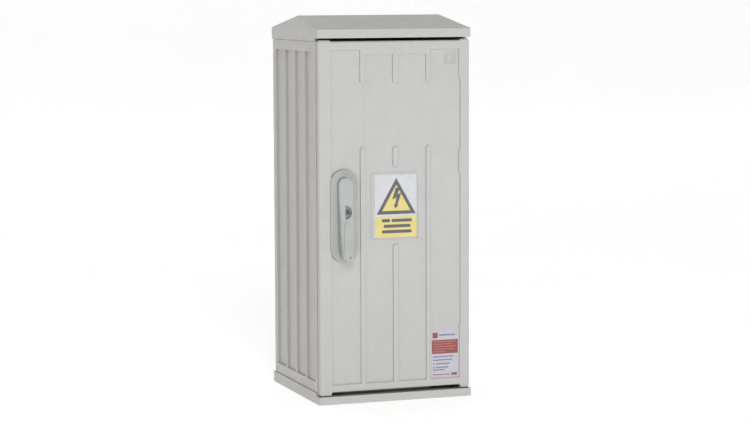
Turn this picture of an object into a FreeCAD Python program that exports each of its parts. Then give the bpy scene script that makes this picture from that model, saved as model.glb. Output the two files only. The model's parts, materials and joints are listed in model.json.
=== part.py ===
import FreeCAD, Part
import math
import os

# Free-standing polyester cable cabinet: base tray, three ribbed walls, ridged roof and one hinged door with
# a swing-lever lock, holding a fuse-switch, a busbar and a cable clamp rail. Millimetres, +Z up, the door
# faces -Y, the origin is the centre of the base's underside.

V = FreeCAD.Vector
X_AXIS = V(1, 0, 0)
Y_AXIS = V(0, 1, 0)
Z_AXIS = V(0, 0, 1)

# ---- driving dimensions ----
BODY_WIDTH = 265.0
BODY_DEPTH = 250.0
RIDGE_Z = 639.0
EAVE_Z = 618.0
SKIN = 3.0                                # thickness of every moulding

SIDE_X = BODY_WIDTH / 2                   # outer plane of the side walls and of the door's edges
DOOR_FRONT_Y = -BODY_DEPTH / 2
REAR_Y = BODY_DEPTH / 2

WALL_BOTTOM_Z = 18.5
WALL_TOP_Z = 597.5
WALL_FRONT_Y = DOOR_FRONT_Y + 13.0        # front edge of the side walls
RETURN_FRONT_X = 118.0                    # inner edge of the walls' front returns
RETURN_REAR_X = 106.0
LIP_Y = DOOR_FRONT_Y + 6.0                # the lips that the door seal closes on
TONGUE_X = 126.5                          # inner face of the tongues that plug into roof and base
TONGUE_TOP_Z = 606.0
TONGUE_BOTTOM_Z = 6.0
TONGUE_ROOT = 8.0                         # how far a tongue runs down the wall it grows from
WELD = 0.001                              # overlap that joins two solids which would only touch

ROOF_X = 134.0
ROOF_Y = 127.0
ROOF_SKIRT_Z = 598.0                      # lower edge at the sides and rear
FASCIA_Z = 603.0                          # lower edge above the door
GABLE_LEAN = 7.0

BASE_X = 134.5
BASE_FRONT_Y = -128.0
BASE_REAR_Y = 130.0
BASE_RIM_Z = 18.0
SILL_Z = 13.0
SILL_REAR_Y = -112.5
BASE_FLOOR = 4.0
BASE_RIM = 4.2
CABLE_OPENING = (85.0, 70.0)              # half sizes in X and Y
ANCHOR_X = 100.0
ANCHOR_Y = 95.0
ANCHOR_HOLE_R = 5.5
ANCHOR_BOSS_R = 10.0

DOOR_TOP_Z = 600.0
DOOR_BOTTOM_Z = 14.0
DOOR_DEPTH = 8.0                          # skin plus turned-in edge
VENT_TOP_Z = 598.0
VENT_BOTTOM_Z = 19.5
VENT_LEFT_X = -110.0
VENT_RIGHT_X = 115.0
DOOR_EDGE_R = 3.0
DOOR_CORNER_R = 5.0

HINGE_X = SIDE_X - 5.0
HINGE_Y = DOOR_FRONT_Y + 5.0
HINGE_PIN_R = 2.5
RUNNING = 0.06                            # radial clearance of every running fit

PANEL_DEPTH = 2.3                         # how deep the door's panels are pressed in between its ribs
WALL_PANEL_DEPTH = 3.8                    # and the panels of the three walls
PANEL_EDGE_R = 0.9                        # rounding where a panel's edge meets the face
PANEL_BOTTOM_Z = 35.0
PANEL_TOP_Z = 580.5
PANEL_BACK_Z = (32.0, 583.5)              # the swelling behind the pressed panels
SIDE_PANELS = [(25.0, 71.0), (78.0, 125.5), (132.0, 180.0), (186.5, 235.0)]   # from the door's front
SIDE_BACK = (22.0, 238.0)
REAR_PANELS = [(-78.0, -42.0), (-38.0, -2.0), (2.0, 38.0), (42.0, 78.0)]
REAR_BACK_X = 81.0

FLOOR_Y = DOOR_FRONT_Y + PANEL_DEPTH      # the sunk field that the door's ribs stand in
FIELD_LEFT_X = -110.0
FIELD_BOTTOM_Z = 32.0
FIELD_TOP_Z = 583.0
FIELD_TOP_MIDDLE_Z = 575.3                # the two middle panels end lower
FIELD_RIGHT = [(114.6, 32.0), (114.6, 119.0), (116.4, 127.0), (116.4, 374.0), (113.9, 380.0),
               (113.9, 412.5), (116.4, 418.0), (116.4, 532.0), (113.9, 538.0), (113.9, 583.0)]
DOOR_RIBS = [(-60.0, -51.5), (-3.0, 6.5), (55.5, 63.5)]
RIB_GAP = (424.0, 528.0)                  # the ribs stop here to leave the upper label field
STICKER_GAP = (262.0, 389.0)              # and the middle one here too, for the sticker
PLATEAU = (-53.0, 78.0, 421.5, 531.5)     # a barely raised label field
STICKER_FRAME = (-41.2, 42.3, 268.5, 380.6)
TYPE_LABEL = (64.3, 113.7, 34.0, 113.0)
INSULATION_MARK = (98.4, 568.2)           # centre of the double square
MARK_HEIGHT = 1.0

LOCK_X = -89.5                            # centre line of the lever lock
LOCK_Z = 362.0                            # axis that the lever turns about
PLATE_FRONT_Y = DOOR_FRONT_Y - 6.0
PLATE_RIM = 2.0                           # height of the plate's outer edge
PLATE_SLOPE = 9.4                         # width of the plate's sloping border
PLATE_Z = (235.0, 388.4)
PLATE_HALF = 23.8
LOCK_SCREW_Z = (250.0, 326.0)
HUB_R = 13.2
PIVOT_Y = DOOR_FRONT_Y - 9.9              # axis that the lever swings out about
PIVOT_Z = LOCK_Z + 8.5
PIVOT_PIN_R = 1.3
KNUCKLE_R = 2.7
POST_HALF_X = 3.0
POST_HALF_Z = 1.8
LEVER_TOP_Z = 376.5
LEVER_TOP_R = 13.0
LEVER_LOW_R = 10.5
LEVER_BOTTOM_Z = 238.5
# How far the lever's front and back stand off the door's face, from its top to its lower end.
LEVER_FRONT = [(382, 12.0), (374, 14.2), (362, 15.3), (340, 16.4), (319, 18.0), (290, 21.0), (262, 25.0),
               (232, 27.5)]
LEVER_BACK = [(382, 6.9), (362, 6.8), (345, 7.0), (320, 7.8), (290, 10.4), (262, 14.5), (232, 19.0)]
LEVER_HOLE = (LOCK_X + 2.0, 246.0)        # the drain hole near the lever's lower end
CYLINDER_X = LOCK_X - 3.0                 # flat side of the half-round lock cylinder
CYLINDER_Z = 319.5
CYLINDER_R = 11.2
PLUG_X = LOCK_X + 2.0
PLUG_R = 4.5
SPINDLE_HALF = 3.5
SPINDLE_HOLE_HALF = 3.6
PINION_R = 11.5                           # pitch radius of the lock pinion, mm of rod travel per radian
PINION_TEETH = 23
TOOTH = 2 * math.pi * PINION_R / PINION_TEETH
RACK_ROOT = PINION_R + 1.1                # from the pinion's axis to the flat of a rack bar
ROD_WIDTH = 5.0
ROD_Y = (-116.2, -111.4)
UPPER_ROD_TOP = 583.5
LOWER_ROD_BOTTOM = 30.5
CASE_HALF_X = 20.5
CASE_HALF_Z = 26.0
CASE_BACK_Y = -104.5
CASE_WALL = 1.5
SLOT_PLAY = 0.3                           # room all round a lock rod where it passes through a wall
KEEPER_X = LOCK_X - RACK_ROOT - ROD_WIDTH / 2
LOWER_KEEPER_X = LOCK_X + RACK_ROOT + ROD_WIDTH / 2
KEEPER_HALF = 13.0                        # half of the opening left for a keeper in a cross rail
KEEPER_SCREW_X = 8.0
RAIL_REACH_X = 126.0
RAIL_SCREW_X = 123.0
RAIL_SCREW_Z = (42.0, 574.0)
REAR_SCREW_X = 116.0
REAR_SCREW_Z = (70.0, 310.0, 550.0)
TONGUE_SCREW_Y = (-70.0, 70.0)
TONGUE_SCREW_Z = (11.5, 602.5)

PLATE_Y = 78.0                            # front face of the mounting plate
PLATE_T = 4.0
SWITCH_Z = 250.0
SWITCH_HEIGHT = 200.0
SWITCH_WIDTH = 106.0
BAY = 34.5                                # pitch of the three fuse bays
STANDOFF_X = 93.0
STANDOFF_Z = (140.0, 505.0)
COVER_Y = 32.0                            # axis of the fuse cover's hinge
COVER_Z = 262.0
FUSE_Z = (318.0, 368.0)                   # ceramic body of each fuse link
JAW_Z = ((300.0, 312.0), (374.0, 386.0))
BUSBAR_Z = (192.0, 212.0)
BUSBAR_Y = (56.0, 61.0)
BUSBAR_HALF = 88.0
BUSBAR_BOLTS_X = (-52.0, -26.0, 0.0, 26.0, 52.0)
SUPPORT_X = 76.0
RAIL_Z = (96.0, 116.0)
RAIL_MIDDLE_Z = sum(RAIL_Z) / 2
RAIL_Y = (52.0, 60.0)
INSIDE_SCREW_X = 92.5                     # screws that hold the clamp rail to its spacers
CLAMPS_X = (-58.0, 0.0, 58.0)
CLAMP_Z = (100.0, 112.0)
CLAMP_BOLT_X = 23.0
CABLE_R = 15.0

NODES = {}


# ---- helpers ----
def box(x0, x1, y0, y1, z0, z1):
    return Part.makeBox(x1 - x0, y1 - y0, z1 - z0, V(x0, y0, z0))


def rod(radius, start, end):
    along = end - start
    return Part.makeCylinder(radius, along.Length, start, along)


def prism(points, along):
    return Part.Face(Part.makePolygon(points + [points[0]])).extrude(along)


def fused(*shapes):
    return shapes[0].multiFuse(list(shapes[1:])).removeSplitter()


def mirrored(shape):
    return shape.mirror(V(0, 0, 0), X_AXIS)


def facets(corners, faces):
    """A closed solid from its corner points and the corner numbers round each face."""
    skins = [Part.Face(Part.makePolygon([corners[i] for i in face + face[:1]])) for face in faces]
    solid = Part.Solid(Part.Shell(skins))
    if solid.Volume < 0:
        solid.reverse()
    return solid


def edges_where(shape, test):
    return [edge for edge in shape.Edges if test(edge.BoundBox)]


def rounded_box(x0, x1, y0, y1, z0, z1, radius, axis):
    """A box whose four edges along one axis are rounded."""
    block = box(x0, x1, y0, y1, z0, z1)
    spans = {"x": "XLength", "y": "YLength", "z": "ZLength"}
    others = [spans[name] for name in spans if name != axis]
    along = edges_where(block, lambda b: all(getattr(b, name) < 0.01 for name in others))
    return block.makeFillet(radius, along)


def stadium(centre_x, z0, z1, radius, y0, y1):
    """An upright plate with fully rounded ends, lying between two Y planes."""
    middle = box(centre_x - radius, centre_x + radius, y0, y1, z0 + radius, z1 - radius)
    low = rod(radius, V(centre_x, y0, z0 + radius), V(centre_x, y1, z0 + radius))
    high = rod(radius, V(centre_x, y0, z1 - radius), V(centre_x, y1, z1 - radius))
    return fused(middle, low, high)


def node(name, *solids):
    NODES[name] = solids[0] if len(solids) == 1 else Part.makeCompound(list(solids))


def placed(shape, turn, x, y):
    """Move a shape drawn on a wall facing -Y to the wall that faces another way."""
    shape = shape.copy()
    shape.rotate(V(0, 0, 0), Z_AXIS, turn)
    shape.translate(V(x, y, 0))
    return shape


def wall_panels(spans):
    """Upright pressed-in panels on a face at Y = 0, side by side between ribs."""
    heights = (PANEL_BOTTOM_Z, PANEL_TOP_Z)
    return [rounded_box(u0, u1, 0, WALL_PANEL_DEPTH, *heights, 2.0, "y") for u0, u1 in spans]


def pressed(plate, sunk, back, plane):
    """Press the sunk shapes into a plate, keeping its thickness, and round their outer edges."""
    plate = fused(plate, back).cut(Part.makeCompound(sunk))
    rims = [edge for edge in plate.Edges if plane(edge.BoundBox)]
    return plate.makeFillet(PANEL_EDGE_R, rims)


def screw(head, tip, head_r, head_h, shank_r):
    """A pan-head screw: head is the face it bears on, the head stands back from there."""
    along = (tip - head).normalize()
    top = head - along * head_h
    bevel = head_h * 0.3
    dome = Part.makeCone(head_r - bevel, head_r, bevel, top, along)
    cap = fused(dome, rod(head_r, top + along * bevel, head))
    socket = Part.makeCylinder(head_r * 0.45, head_h * 0.5, top, along)
    return fused(cap.cut(socket), rod(shank_r, head, tip))


def on_hinge_axis(radius, z0, z1):
    return rod(radius, V(HINGE_X, HINGE_Y, z0), V(HINGE_X, HINGE_Y, z1))


# ---- base tray ----
def make_base():
    tray = box(-BASE_X, BASE_X, BASE_FRONT_Y, BASE_REAR_Y, 0, BASE_RIM_Z)
    tray = tray.makeFillet(2.0, edges_where(tray, lambda b: b.XLength < 0.01 and b.YLength < 0.01))
    inner_x = BASE_X - BASE_RIM
    hollow = box(-inner_x, inner_x, SILL_REAR_Y, BASE_REAR_Y - BASE_RIM, BASE_FLOOR, BASE_RIM_Z + 1)
    sill_cut = box(-BASE_X - 1, BASE_X + 1, BASE_FRONT_Y - 1, WALL_FRONT_Y + 0.5, SILL_Z, BASE_RIM_Z + 1)
    under_sill = box(-112, 112, BASE_FRONT_Y + SKIN, SILL_REAR_Y - SKIN, -1, SILL_Z - SKIN)
    tray = tray.cut(hollow).cut(sill_cut).cut(under_sill)
    half_x, half_y = CABLE_OPENING
    tray = tray.cut(rounded_box(-half_x, half_x, -half_y, half_y, -1, BASE_FLOOR + 1, 12.0, "z"))
    collar = rounded_box(-half_x - SKIN, half_x + SKIN, -half_y - SKIN, half_y + SKIN, 0, 12.0, 15.0, "z")
    collar = collar.cut(rounded_box(-half_x, half_x, -half_y, half_y, -1, 13.0, 12.0, "z"))
    bosses = [rod(ANCHOR_BOSS_R, V(x, y, 0), V(x, y, 8.0))
              for x in (-ANCHOR_X, ANCHOR_X) for y in (-ANCHOR_Y, ANCHOR_Y)]
    tray = fused(tray, collar, *bosses)
    for x in (-ANCHOR_X, ANCHOR_X):
        for y in (-ANCHOR_Y, ANCHOR_Y):
            tray = tray.cut(rod(ANCHOR_HOLE_R, V(x, y, -1), V(x, y, 9)))
    tray = tray.cut(on_hinge_axis(HINGE_PIN_R + RUNNING, 3, BASE_RIM_Z))
    for y in TONGUE_SCREW_Y:
        hole = rod(2.02, V(SIDE_X - SKIN, y, TONGUE_SCREW_Z[0]), V(BASE_X - 1.4, y, TONGUE_SCREW_Z[0]))
        tray = tray.cut(hole).cut(mirrored(hole))
    return tray


# ---- walls ----
def within_panel_height(b):
    return b.ZMin > PANEL_BOTTOM_Z - 1 and b.ZMax < PANEL_TOP_Z + 1


def is_side_panel_rim(b):
    """True for an edge where a panel meets the outer face of the side wall."""
    return (b.XMin > SIDE_X - 0.01 and b.YMin > WALL_FRONT_Y + 5 and b.YMax < REAR_Y - 5
            and within_panel_height(b))


def is_rear_panel_rim(b):
    """True for an edge where a panel meets the outer face of the rear wall."""
    return (b.YMin > REAR_Y - 0.01 and b.XMin > -REAR_BACK_X and b.XMax < REAR_BACK_X
            and within_panel_height(b))


def make_side_wall():
    """The right-hand wall; the left one is its mirror image."""
    inner = SIDE_X - SKIN
    plate = box(inner, SIDE_X, WALL_FRONT_Y, REAR_Y, WALL_BOTTOM_Z, WALL_TOP_Z)
    upright = edges_where(plate, lambda b: b.XLength < 0.01 and b.YLength < 0.01)
    plate = plate.makeFillet(1.2, [edge for edge in upright if edge.BoundBox.XMin > inner + 1])

    sunk = [placed(panel, 90, SIDE_X, DOOR_FRONT_Y) for panel in wall_panels(SIDE_PANELS)]
    y0, y1 = [DOOR_FRONT_Y + distance for distance in SIDE_BACK]
    back = box(inner - WALL_PANEL_DEPTH, inner + 0.5, y0, y1, *PANEL_BACK_Z)
    wall = pressed(plate, sunk, back, is_side_panel_rim)
    front = WALL_FRONT_Y
    front_return = box(RETURN_FRONT_X, SIDE_X - 1.5, front, front + SKIN, WALL_BOTTOM_Z, WALL_TOP_Z)
    lip = box(RETURN_FRONT_X, RETURN_FRONT_X + SKIN, LIP_Y, front + SKIN, 29.0, 585.0)
    rear_return = box(RETURN_REAR_X, inner + 1, 118.7, 121.7, WALL_BOTTOM_Z, WALL_TOP_Z)
    tongue_y = (front + 4, 118.0)
    top = box(TONGUE_X, inner + WELD, *tongue_y, WALL_TOP_Z - TONGUE_ROOT, TONGUE_TOP_Z)
    bottom = box(TONGUE_X, inner + WELD, *tongue_y, TONGUE_BOTTOM_Z, WALL_BOTTOM_Z + TONGUE_ROOT)
    wall = fused(wall, front_return, lip, rear_return, top, bottom)
    for z in RAIL_SCREW_Z:
        hole = V(RAIL_SCREW_X, front, z)
        wall = wall.cut(rod(2.55, hole - Y_AXIS, hole + Y_AXIS * 6))
        wall = wall.cut(rod(4.1, hole - Y_AXIS, hole + Y_AXIS * 1.6))
    for z in REAR_SCREW_Z:
        wall = wall.cut(rod(2.55, V(REAR_SCREW_X, 115, z), V(REAR_SCREW_X, 123, z)))
    for y in TONGUE_SCREW_Y:
        for z in TONGUE_SCREW_Z:
            wall = wall.cut(rod(2.05, V(TONGUE_X - 1, y, z), V(inner + 0.5, y, z)))
    return wall


def make_rear_wall():
    half = SIDE_X - SKIN - 0.4
    inner = REAR_Y - SKIN
    plate = box(-half, half, inner, REAR_Y, WALL_BOTTOM_Z, WALL_TOP_Z)

    sunk = [placed(panel, 180, 0, REAR_Y) for panel in wall_panels(REAR_PANELS)]
    back = box(-REAR_BACK_X, REAR_BACK_X, inner - WALL_PANEL_DEPTH, inner + 0.5, *PANEL_BACK_Z)
    wall = pressed(plate, sunk, back, is_rear_panel_rim)
    top = box(-100, 100, inner - SKIN, inner + WELD, WALL_TOP_Z - TONGUE_ROOT, TONGUE_TOP_Z)
    bottom = box(-100, 100, inner - SKIN, inner + WELD, TONGUE_BOTTOM_Z, WALL_BOTTOM_Z + TONGUE_ROOT)
    wall = fused(wall, top, bottom)
    for sx in (-1, 1):
        for z in REAR_SCREW_Z:
            wall = wall.cut(rod(2.55, V(sx * REAR_SCREW_X, 120, z), V(sx * REAR_SCREW_X, 126, z)))
        for z in STANDOFF_Z:
            wall = wall.cut(rod(3.1, V(sx * STANDOFF_X, 110, z), V(sx * STANDOFF_X, 126, z)))
    return wall


# ---- roof ----
def roof_body(inset, ridge_inset):
    """The roof's outline moved inwards by inset, with its ridge lowered to suit."""
    half_x = ROOF_X - inset
    half_y = ROOF_Y - inset
    ridge_x = ROOF_X - GABLE_LEAN - inset
    eave = EAVE_Z - inset * 0.6
    ridge = RIDGE_Z - ridge_inset
    low = ROOF_SKIRT_Z - (1.0 if inset else 0.0)
    square = [(-half_x, -half_y), (half_x, -half_y), (half_x, half_y), (-half_x, half_y)]
    corners = [V(x, y, low) for x, y in square] + [V(x, y, eave) for x, y in square]
    corners += [V(-ridge_x, 0, ridge), V(ridge_x, 0, ridge)]
    faces = [[0, 3, 2, 1], [0, 1, 5, 4], [1, 2, 6, 5], [2, 3, 7, 6], [3, 0, 4, 7],
             [4, 5, 9, 8], [6, 7, 8, 9], [5, 6, 9], [7, 4, 8]]
    return facets(corners, faces)


def make_roof():
    outer = roof_body(0.0, 0.0)
    outer = outer.makeFillet(1.5, [edge for edge in outer.Edges if edge.BoundBox.ZMax > ROOF_SKIRT_Z + 1])
    roof = outer.cut(roof_body(SKIN, 3.4))
    roof = roof.cut(box(-ROOF_X - 1, ROOF_X + 1, -ROOF_Y - 1, WALL_FRONT_Y + 0.5, ROOF_SKIRT_Z - 1, FASCIA_Z))
    boss = box(HINGE_X - 6, ROOF_X - 1, -ROOF_Y + 1, HINGE_Y + 6, FASCIA_Z, EAVE_Z - 1)
    rod_stop = box(-ROOF_X + 1, -TONGUE_X - 1, -ROOF_Y + 1, HINGE_Y + 6, FASCIA_Z, EAVE_Z - 1)
    pads = [box(SIDE_X - SKIN + 0.3, ROOF_X - 1, y - 8, y + 8, ROOF_SKIRT_Z, EAVE_Z - 6)
            for y in TONGUE_SCREW_Y]
    roof = fused(roof, boss, rod_stop, *pads, *[mirrored(pad) for pad in pads])
    roof = roof.cut(on_hinge_axis(HINGE_PIN_R + RUNNING, FASCIA_Z - 1, EAVE_Z - 4))
    for y in TONGUE_SCREW_Y:
        hole = rod(2.02, V(SIDE_X - SKIN, y, TONGUE_SCREW_Z[1]), V(ROOF_X - 1.4, y, TONGUE_SCREW_Z[1]))
        roof = roof.cut(hole).cut(mirrored(hole))
    return roof


# ---- door ----
def door_outline(inset):
    top = DOOR_TOP_Z - inset
    bottom = DOOR_BOTTOM_Z + inset
    vent_top = VENT_TOP_Z - inset
    vent_bottom = VENT_BOTTOM_Z + inset
    half = SIDE_X - inset
    left = VENT_LEFT_X - (1.0 if inset else 0.0)
    right = VENT_RIGHT_X + (1.0 if inset else 0.0)
    slope = DOOR_TOP_Z - VENT_TOP_Z
    points = [(-half, bottom), (left - slope, bottom), (left, vent_bottom), (right, vent_bottom),
              (right + slope, bottom), (half, bottom), (half, top), (right + slope, top), (right, vent_top),
              (left, vent_top), (left - slope, top), (-half, top)]
    return [V(x, DOOR_FRONT_Y, z) for x, z in points]


def upright_rib(x0, x1, z0, z1):
    """A rib with fully rounded ends, tall enough to stand out of the sunk field."""
    return stadium((x0 + x1) / 2, z0, z1, (x1 - x0) / 2, DOOR_FRONT_Y - 1, FLOOR_Y + 1)


def door_field():
    """The sunk field of the door, with its ribs left standing."""
    left, right = [sum(DOOR_RIBS[i]) / 2 for i in (0, -1)]
    outline = [(FIELD_LEFT_X, FIELD_BOTTOM_Z)] + FIELD_RIGHT
    outline += [(right, FIELD_TOP_Z), (right, FIELD_TOP_MIDDLE_Z), (left, FIELD_TOP_MIDDLE_Z),
                (left, FIELD_TOP_Z), (FIELD_LEFT_X, FIELD_TOP_Z)]
    field = prism([V(x, DOOR_FRONT_Y, z) for x, z in outline], Y_AXIS * PANEL_DEPTH)
    low, high = FIELD_BOTTOM_Z - 10, FIELD_TOP_Z + 10
    for i, (x0, x1) in enumerate(DOOR_RIBS):
        spans = [(low, RIB_GAP[0]), (RIB_GAP[1], high)]
        if i == 1:
            spans = [(low, STICKER_GAP[0]), (STICKER_GAP[1], RIB_GAP[0]), (RIB_GAP[1], high)]
        for z0, z1 in spans:
            field = field.cut(upright_rib(x0, x1, z0, z1))
    return field


def square_ring(cx, cz, half, width, y0, y1):
    outer = rounded_box(cx - half, cx + half, y0, y1, cz - half, cz + half, 1.0, "y")
    inner = half - width
    return outer.cut(box(cx - inner, cx + inner, y0 - 1, y1 + 1, cz - inner, cz + inner))


def is_field_rim(b):
    """True for an edge where the sunk field meets the door's face."""
    return (b.YMax < DOOR_FRONT_Y + 0.01 and b.XMin > FIELD_LEFT_X - 1 and b.XMax < 118
            and b.ZMin > FIELD_BOTTOM_Z - 1 and b.ZMax < FIELD_TOP_Z + 1)


def make_door():
    face = prism(door_outline(0.0), Y_AXIS * DOOR_DEPTH)
    across = edges_where(face, lambda b: b.XLength < 0.01 and b.ZLength < 0.01)
    corners = [edge for edge in across if abs(edge.BoundBox.XMin) > SIDE_X - 0.1]
    face = face.makeFillet(DOOR_CORNER_R, corners)
    face = face.makeFillet(DOOR_EDGE_R, edges_where(face, lambda b: b.YMax < DOOR_FRONT_Y + 0.01))
    hollow = prism(door_outline(SKIN), Y_AXIS * (DOOR_DEPTH + 1)).translated(V(0, SKIN, 0))
    door = face.cut(hollow)
    back = box(FIELD_LEFT_X - 2, 116.2, DOOR_FRONT_Y + SKIN - 0.5, FLOOR_Y + SKIN, 31.3, 582.7)
    door = pressed(door, [door_field()], back, is_field_rim)
    x0, x1, z0, z1 = PLATEAU
    plateau = box(x0, x1, FLOOR_Y - 0.3, FLOOR_Y + 1, z0, z1)
    x0, x1, z0, z1 = STICKER_FRAME
    frame = rounded_box(x0, x1, FLOOR_Y - 0.9, FLOOR_Y + 1, z0, z1, 2.0, "y")
    frame = frame.cut(rounded_box(x0 + 2.2, x1 - 2.2, FLOOR_Y - 2, FLOOR_Y, z0 + 2.2, z1 - 2.2, 1.0, "y"))
    cx, cz = INSULATION_MARK
    marks = [square_ring(cx, cz, half, 1.1, FLOOR_Y - MARK_HEIGHT, FLOOR_Y + 1) for half in (9.5, 5.3)]
    pad = stadium(LOCK_X + 0.7, 236.0, 387.4, 22.8, DOOR_FRONT_Y, FLOOR_Y + 1)
    corner_blocks = [box(HINGE_X - 4.5, SIDE_X - 2, DOOR_FRONT_Y + 2, DOOR_FRONT_Y + DOOR_DEPTH, z0, z1)
                     for z0, z1 in ((DOOR_BOTTOM_Z, DOOR_BOTTOM_Z + 20), (DOOR_TOP_Z - 20, DOOR_TOP_Z))]
    inside = prism(door_outline(1.0), Y_AXIS * DOOR_DEPTH)
    blocks = [block.common(inside) for block in corner_blocks]
    door = fused(door, plateau, frame, pad, *marks, *blocks)
    for z in (DOOR_BOTTOM_Z - 1, DOOR_TOP_Z - 16):
        door = door.cut(on_hinge_axis(HINGE_PIN_R + RUNNING, z, z + 17.5))
    door = door.cut(on_lock_axis(HUB_R + 0.8, DOOR_FRONT_Y - 1, DOOR_FRONT_Y + 9, LOCK_Z))
    for z in LOCK_SCREW_Z:
        door = door.cut(on_lock_axis(4.7, DOOR_FRONT_Y - 1, DOOR_FRONT_Y + 9, z))
    return door


# ---- lever lock ----
def on_lock_axis(radius, y0, y1, z, x=LOCK_X):
    return rod(radius, V(x, y0, z), V(x, y1, z))


def lever_side(forward=0.0):
    """The lever seen from the side, as wide as it could ever be."""
    x = LOCK_X - 20
    front = [V(x, DOOR_FRONT_Y - p - forward, z) for z, p in LEVER_FRONT]
    back = [V(x, DOOR_FRONT_Y - p - forward, z) for z, p in LEVER_BACK]
    front_curve = Part.BSplineCurve()
    front_curve.interpolate(front)
    back_curve = Part.BSplineCurve()
    back_curve.interpolate(back)
    wire = Part.Wire([front_curve.toShape(), Part.makeLine(front[-1], back[-1]), back_curve.toShape(),
                      Part.makeLine(back[0], front[0])])
    return Part.Face(wire).extrude(X_AXIS * 40)


def hull_of_two(x0, z0, r0, x1, z1, r1, y0, y1):
    """Two upright discs, the higher one first, and the straight flanks that touch both."""
    lean = math.asin((r0 - r1) / (z0 - z1))
    points = []
    for side, (x, z, r) in ((-1, (x0, z0, r0)), (-1, (x1, z1, r1)), (1, (x1, z1, r1)), (1, (x0, z0, r0))):
        points.append(V(x + side * r * math.cos(lean), y0, z + r * math.sin(lean)))
    middle = prism(points, Y_AXIS * (y1 - y0))
    return fused(middle, rod(r0, V(x0, y0, z0), V(x0, y1, z0)), rod(r1, V(x1, y0, z1), V(x1, y1, z1)))


def half_disc(x, z, radius, y0, y1):
    return rod(radius, V(x, y0, z), V(x, y1, z)).common(box(x, x + 30, y0 - 1, y1 + 1, z - 30, z + 30))


def lever_hole():
    x, z = LEVER_HOLE
    return on_lock_axis(1.2, -160, -146, z, x)


def make_lever():
    outline = hull_of_two(LOCK_X, LEVER_TOP_Z - LEVER_TOP_R, LEVER_TOP_R,
                          LOCK_X, LEVER_BOTTOM_Z + LEVER_LOW_R, LEVER_LOW_R, -160, -125)
    lever = lever_side().common(outline)
    front_edges = [e for e in lever.Edges if is_lever_front(e)]
    lever = lever.makeFillet(2.2, front_edges)
    nose = [(PIVOT_Z + 0.4, 6.0), (LEVER_TOP_Z + 2, 10.6), (LEVER_TOP_Z + 2, 6.0)]
    lever = lever.cut(prism([V(LOCK_X - 20, DOOR_FRONT_Y - p, z) for z, p in nose], X_AXIS * 40))
    slot_half = POST_HALF_X + 0.4
    slot_front = PIVOT_Y - KNUCKLE_R - 0.3
    slot = box(LOCK_X - slot_half, LOCK_X + slot_half, slot_front, -120, PIVOT_Z - 3.4, PIVOT_Z + 4.4)
    left, right = LOCK_X - 11, LOCK_X + 11
    lever = lever.cut(slot)
    lever = lever.cut(rod(PIVOT_PIN_R + RUNNING, V(left, PIVOT_Y, PIVOT_Z), V(right, PIVOT_Y, PIVOT_Z)))
    lever = lever.cut(half_disc(CYLINDER_X - 0.3, CYLINDER_Z, CYLINDER_R + 0.3, -150, -125))
    lever = lever.cut(box(LOCK_X - 8, LOCK_X + 8, -135, -125, CYLINDER_Z - 13, CYLINDER_Z + 13))
    lever = lever.cut(lever_hole())
    return lever


def is_lever_front(edge):
    """True for the edges between the lever's front surface and its flanks."""
    middle = edge.valueAt((edge.FirstParameter + edge.LastParameter) / 2)
    along_side = edge.BoundBox.ZLength > 1.0 or edge.BoundBox.XLength > 1.0
    levels = sorted(LEVER_FRONT)
    for (z0, p0), (z1, p1) in zip(levels, levels[1:]):
        if z0 <= middle.z <= z1:
            stand = p0 + (p1 - p0) * (middle.z - z0) / (z1 - z0)
            return along_side and abs(DOOR_FRONT_Y - stand - middle.y) < 0.6
    return False


def make_grip():
    outline = hull_of_two(LOCK_X, 298.0, 5.0, LOCK_X, 251.5, 8.6, -165, -125)
    grip = lever_side(1.4).common(outline).cut(lever_side())
    return grip.cut(lever_hole())


def is_plate_slope_edge(b):
    """True for the edges at the foot of the plate's slope."""
    return abs(b.YMax - (DOOR_FRONT_Y - PLATE_RIM)) < 0.01 and b.YLength < 0.01


def make_lock_plate():
    plate = stadium(LOCK_X + 0.7, *PLATE_Z, PLATE_HALF, PLATE_FRONT_Y, DOOR_FRONT_Y)
    rim = edges_where(plate, lambda b: b.YMax < PLATE_FRONT_Y + 0.01)
    plate = plate.makeChamfer(DOOR_FRONT_Y - PLATE_FRONT_Y - PLATE_RIM, PLATE_SLOPE, rim)
    plate = plate.makeFillet(1.2, edges_where(plate, is_plate_slope_edge))
    plate = plate.cut(on_lock_axis(HUB_R + RUNNING, -140, -120, LOCK_Z))
    for z in LOCK_SCREW_Z:
        plate = fused(plate, on_lock_axis(4.5, DOOR_FRONT_Y - 0.5, FLOOR_Y + SKIN - 0.1, z))
        plate = plate.cut(on_lock_axis(1.95, DOOR_FRONT_Y - 2.0, DOOR_FRONT_Y + 6, z))
    return plate


def square_bar(half, y0, y1):
    return box(LOCK_X - half, LOCK_X + half, y0, y1, LOCK_Z - half, LOCK_Z + half)


def make_hub():
    hub = on_lock_axis(HUB_R, PLATE_FRONT_Y, -118.0, LOCK_Z)
    left, right = LOCK_X - POST_HALF_X, LOCK_X + POST_HALF_X
    post = box(left, right, PIVOT_Y, PLATE_FRONT_Y + 1, PIVOT_Z - POST_HALF_Z, PIVOT_Z + POST_HALF_Z)
    knuckle = rod(KNUCKLE_R, V(left, PIVOT_Y, PIVOT_Z), V(right, PIVOT_Y, PIVOT_Z))
    hub = fused(hub, post, knuckle)
    hub = hub.cut(rod(PIVOT_PIN_R + RUNNING, V(left - 1, PIVOT_Y, PIVOT_Z), V(right + 1, PIVOT_Y, PIVOT_Z)))
    return hub.cut(square_bar(SPINDLE_HOLE_HALF, -121, -117))


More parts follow.
